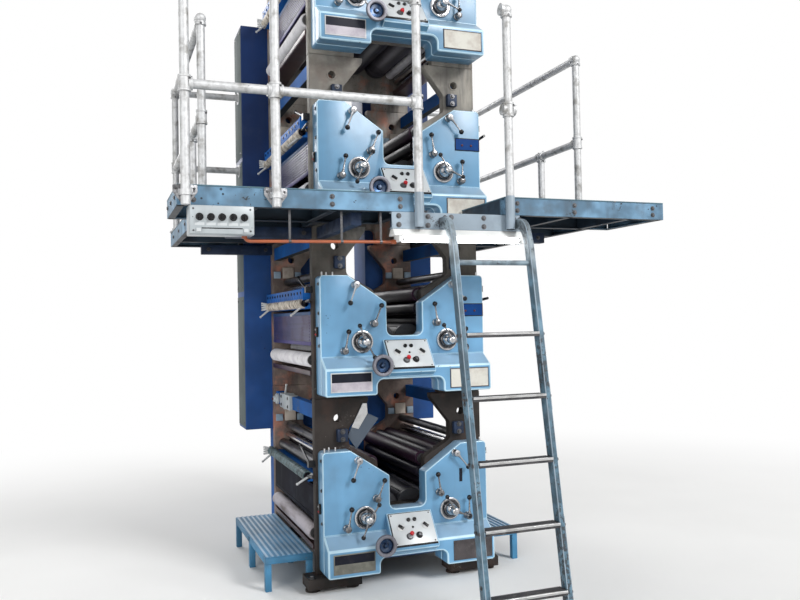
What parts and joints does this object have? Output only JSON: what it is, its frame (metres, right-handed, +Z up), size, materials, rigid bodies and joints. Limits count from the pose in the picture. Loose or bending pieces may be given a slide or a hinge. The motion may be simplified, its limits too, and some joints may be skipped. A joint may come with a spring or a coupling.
{
  "type": "four-high offset printing tower",
  "caption": "Stack of offset web printing units between cast side frames, with rollers, blue operator covers, levers, service platform, rails, ladder and footboards.",
  "frame": {"origin": "on the floor, under the middle of the object's box", "axes": "+X to the right seen from the operator side, along the press line; +Y from the operator side to the drive side; +Z up"},
  "size_m": [2.905, 2.92, 4.4096],
  "materials": {
    "frame_iron": "cast iron with dark grey-brown paint, oily",
    "cover_blue": "light steel-blue gloss paint, worn and ink-stained",
    "fountain_blue": "mid-blue paint with dried ink",
    "deep_blue": "deep blue semi-gloss paint",
    "deck_blue": "dirty teal-blue paint, chipped",
    "beam_grey": "grey-blue paint, scuffed",
    "panel_white": "white enamel panel",
    "plate_grey": "blank satin plate",
    "chrome": "polished, slightly dull",
    "steel": "ground steel with a film of ink",
    "lever_steel": "bright steel rod with a black ball",
    "tread_steel": "dark worn tread with a bright nosing",
    "galvanised": "galvanised tube, dull and spattered",
    "ink_rubber": "black ink-coated rubber",
    "damper_white": "white moistening sleeve",
    "pan_brown": "brown stained pan",
    "lamp_white": "white enamel reflector",
    "box_grey": "light grey enamel box"
  },
  "bodies": {
    "tower": {"levelling_feet": "frame_iron", "operator_frames": "frame_iron", "drive_frames": "frame_iron", "tie_bars": "deck_blue", "covers": "cover_blue", "control_plates": "panel_white", "name_plates": "plate_grey", "register_dials": "chrome", "printing_cylinders": "steel", "ink_rollers": "ink_rubber", "dampening_rollers": "damper_white", "ink_fountains": "fountain_blue", "water_pans": "pan_brown", "roller_guards": "cover_blue", "drive_housing": "deep_blue", "decks": "deck_blue", "deck_beam": "beam_grey", "rail_posts": "galvanised", "rails": "galvanised", "ladder_stiles": "deck_blue", "ladder_treads": "tread_steel", "lamp": "lamp_white", "switch_box": "box_grey", "footboards": "deck_blue"},
    "upper_lever_left_1": {"upper_lever_left_1": "lever_steel"},
    "upper_lever_right_1": {"upper_lever_right_1": "lever_steel"},
    "middle_lever_left_1": {"middle_lever_left_1": "lever_steel"},
    "middle_lever_right_1": {"middle_lever_right_1": "lever_steel"},
    "outer_lever_left_1": {"outer_lever_left_1": "lever_steel"},
    "outer_lever_right_1": {"outer_lever_right_1": "lever_steel"},
    "register_crank_left_1": {"register_crank_left_1": "lever_steel"},
    "register_crank_right_1": {"register_crank_right_1": "lever_steel"},
    "handwheel_1": {"handwheel_1": "steel"},
    "upper_lever_left_2": {"upper_lever_left_2": "lever_steel"},
    "upper_lever_right_2": {"upper_lever_right_2": "lever_steel"},
    "middle_lever_left_2": {"middle_lever_left_2": "lever_steel"},
    "middle_lever_right_2": {"middle_lever_right_2": "lever_steel"},
    "outer_lever_left_2": {"outer_lever_left_2": "lever_steel"},
    "outer_lever_right_2": {"outer_lever_right_2": "lever_steel"},
    "register_crank_left_2": {"register_crank_left_2": "lever_steel"},
    "register_crank_right_2": {"register_crank_right_2": "lever_steel"},
    "handwheel_2": {"handwheel_2": "steel"},
    "upper_lever_left_3": {"upper_lever_left_3": "lever_steel"},
    "upper_lever_right_3": {"upper_lever_right_3": "lever_steel"},
    "middle_lever_left_3": {"middle_lever_left_3": "lever_steel"},
    "middle_lever_right_3": {"middle_lever_right_3": "lever_steel"},
    "outer_lever_left_3": {"outer_lever_left_3": "lever_steel"},
    "outer_lever_right_3": {"outer_lever_right_3": "lever_steel"},
    "register_crank_left_3": {"register_crank_left_3": "lever_steel"},
    "register_crank_right_3": {"register_crank_right_3": "lever_steel"},
    "handwheel_3": {"handwheel_3": "steel"},
    "upper_lever_left_4": {"upper_lever_left_4": "lever_steel"},
    "upper_lever_right_4": {"upper_lever_right_4": "lever_steel"},
    "middle_lever_left_4": {"middle_lever_left_4": "lever_steel"},
    "middle_lever_right_4": {"middle_lever_right_4": "lever_steel"},
    "outer_lever_left_4": {"outer_lever_left_4": "lever_steel"},
    "outer_lever_right_4": {"outer_lever_right_4": "lever_steel"},
    "register_crank_left_4": {"register_crank_left_4": "lever_steel"},
    "register_crank_right_4": {"register_crank_right_4": "lever_steel"},
    "handwheel_4": {"handwheel_4": "steel"}
  },
  "joints": [
    {"name": "upper_lever_left_1_turn", "type": "hinge", "parent": "tower", "child": "upper_lever_left_1", "pos_m": [-0.326, -0.23, 0.793], "axis": [0, 1, 0], "range_deg": [-20, 40]},
    {"name": "upper_lever_right_1_turn", "type": "hinge", "parent": "tower", "child": "upper_lever_right_1", "pos_m": [0.326, -0.23, 0.793], "axis": [0, 1, 0], "range_deg": [-20, 40]},
    {"name": "middle_lever_left_1_turn", "type": "hinge", "parent": "tower", "child": "middle_lever_left_1", "pos_m": [-0.211, -0.23, 0.551], "axis": [0, 1, 0], "range_deg": [-42, 8]},
    {"name": "middle_lever_right_1_turn", "type": "hinge", "parent": "tower", "child": "middle_lever_right_1", "pos_m": [0.211, -0.23, 0.551], "axis": [0, 1, 0], "range_deg": [-21, 29]},
    {"name": "outer_lever_left_1_turn", "type": "hinge", "parent": "tower", "child": "outer_lever_left_1", "pos_m": [-0.404, -0.23, 0.386], "axis": [0, 1, 0], "range_deg": [-41, 19]},
    {"name": "outer_lever_right_1_turn", "type": "hinge", "parent": "tower", "child": "outer_lever_right_1", "pos_m": [0.404, -0.23, 0.386], "axis": [0, 1, 0], "range_deg": [-31, 29]},
    {"name": "register_crank_left_1_turn", "type": "hinge", "parent": "tower", "child": "register_crank_left_1", "pos_m": [-0.285, -0.23, 0.44], "axis": [0, 1, 0], "continuous": true},
    {"name": "register_crank_right_1_turn", "type": "hinge", "parent": "tower", "child": "register_crank_right_1", "pos_m": [0.285, -0.23, 0.44], "axis": [0, 1, 0], "continuous": true},
    {"name": "handwheel_1_turn", "type": "hinge", "parent": "tower", "child": "handwheel_1", "pos_m": [-0.208, -0.23, 0.298], "axis": [0, 1, 0], "continuous": true},
    {"name": "upper_lever_left_2_turn", "type": "hinge", "parent": "tower", "child": "upper_lever_left_2", "pos_m": [-0.326, -0.23, 1.873], "axis": [0, 1, 0], "range_deg": [-20, 40]},
    {"name": "upper_lever_right_2_turn", "type": "hinge", "parent": "tower", "child": "upper_lever_right_2", "pos_m": [0.326, -0.23, 1.873], "axis": [0, 1, 0], "range_deg": [-20, 40]},
    {"name": "middle_lever_left_2_turn", "type": "hinge", "parent": "tower", "child": "middle_lever_left_2", "pos_m": [-0.211, -0.23, 1.631], "axis": [0, 1, 0], "range_deg": [-42, 8]},
    {"name": "middle_lever_right_2_turn", "type": "hinge", "parent": "tower", "child": "middle_lever_right_2", "pos_m": [0.211, -0.23, 1.631], "axis": [0, 1, 0], "range_deg": [-21, 29]},
    {"name": "outer_lever_left_2_turn", "type": "hinge", "parent": "tower", "child": "outer_lever_left_2", "pos_m": [-0.404, -0.23, 1.466], "axis": [0, 1, 0], "range_deg": [-41, 19]},
    {"name": "outer_lever_right_2_turn", "type": "hinge", "parent": "tower", "child": "outer_lever_right_2", "pos_m": [0.404, -0.23, 1.466], "axis": [0, 1, 0], "range_deg": [-31, 29]},
    {"name": "register_crank_left_2_turn", "type": "hinge", "parent": "tower", "child": "register_crank_left_2", "pos_m": [-0.285, -0.23, 1.52], "axis": [0, 1, 0], "continuous": true},
    {"name": "register_crank_right_2_turn", "type": "hinge", "parent": "tower", "child": "register_crank_right_2", "pos_m": [0.285, -0.23, 1.52], "axis": [0, 1, 0], "continuous": true},
    {"name": "handwheel_2_turn", "type": "hinge", "parent": "tower", "child": "handwheel_2", "pos_m": [-0.208, -0.23, 1.378], "axis": [0, 1, 0], "continuous": true},
    {"name": "upper_lever_left_3_turn", "type": "hinge", "parent": "tower", "child": "upper_lever_left_3", "pos_m": [-0.326, -0.23, 2.953], "axis": [0, 1, 0], "range_deg": [-20, 40]},
    {"name": "upper_lever_right_3_turn", "type": "hinge", "parent": "tower", "child": "upper_lever_right_3", "pos_m": [0.326, -0.23, 2.953], "axis": [0, 1, 0], "range_deg": [-20, 40]},
    {"name": "middle_lever_left_3_turn", "type": "hinge", "parent": "tower", "child": "middle_lever_left_3", "pos_m": [-0.211, -0.23, 2.711], "axis": [0, 1, 0], "range_deg": [-42, 8]},
    {"name": "middle_lever_right_3_turn", "type": "hinge", "parent": "tower", "child": "middle_lever_right_3", "pos_m": [0.211, -0.23, 2.711], "axis": [0, 1, 0], "range_deg": [-21, 29]},
    {"name": "outer_lever_left_3_turn", "type": "hinge", "parent": "tower", "child": "outer_lever_left_3", "pos_m": [-0.404, -0.23, 2.546], "axis": [0, 1, 0], "range_deg": [-41, 19]},
    {"name": "outer_lever_right_3_turn", "type": "hinge", "parent": "tower", "child": "outer_lever_right_3", "pos_m": [0.404, -0.23, 2.546], "axis": [0, 1, 0], "range_deg": [-31, 29]},
    {"name": "register_crank_left_3_turn", "type": "hinge", "parent": "tower", "child": "register_crank_left_3", "pos_m": [-0.285, -0.23, 2.6], "axis": [0, 1, 0], "continuous": true},
    {"name": "register_crank_right_3_turn", "type": "hinge", "parent": "tower", "child": "register_crank_right_3", "pos_m": [0.285, -0.23, 2.6], "axis": [0, 1, 0], "continuous": true},
    {"name": "handwheel_3_turn", "type": "hinge", "parent": "tower", "child": "handwheel_3", "pos_m": [-0.208, -0.23, 2.458], "axis": [0, 1, 0], "continuous": true},
    {"name": "upper_lever_left_4_turn", "type": "hinge", "parent": "tower", "child": "upper_lever_left_4", "pos_m": [-0.326, -0.23, 4.033], "axis": [0, 1, 0], "range_deg": [-20, 40]},
    {"name": "upper_lever_right_4_turn", "type": "hinge", "parent": "tower", "child": "upper_lever_right_4", "pos_m": [0.326, -0.23, 4.033], "axis": [0, 1, 0], "range_deg": [-20, 40]},
    {"name": "middle_lever_left_4_turn", "type": "hinge", "parent": "tower", "child": "middle_lever_left_4", "pos_m": [-0.211, -0.23, 3.791], "axis": [0, 1, 0], "range_deg": [-42, 8]},
    {"name": "middle_lever_right_4_turn", "type": "hinge", "parent": "tower", "child": "middle_lever_right_4", "pos_m": [0.211, -0.23, 3.791], "axis": [0, 1, 0], "range_deg": [-21, 29]},
    {"name": "outer_lever_left_4_turn", "type": "hinge", "parent": "tower", "child": "outer_lever_left_4", "pos_m": [-0.404, -0.23, 3.626], "axis": [0, 1, 0], "range_deg": [-41, 19]},
    {"name": "outer_lever_right_4_turn", "type": "hinge", "parent": "tower", "child": "outer_lever_right_4", "pos_m": [0.404, -0.23, 3.626], "axis": [0, 1, 0], "range_deg": [-31, 29]},
    {"name": "register_crank_left_4_turn", "type": "hinge", "parent": "tower", "child": "register_crank_left_4", "pos_m": [-0.285, -0.23, 3.68], "axis": [0, 1, 0], "continuous": true},
    {"name": "register_crank_right_4_turn", "type": "hinge", "parent": "tower", "child": "register_crank_right_4", "pos_m": [0.285, -0.23, 3.68], "axis": [0, 1, 0], "continuous": true},
    {"name": "handwheel_4_turn", "type": "hinge", "parent": "tower", "child": "handwheel_4", "pos_m": [-0.208, -0.23, 3.538], "axis": [0, 1, 0], "continuous": true}
  ]
}
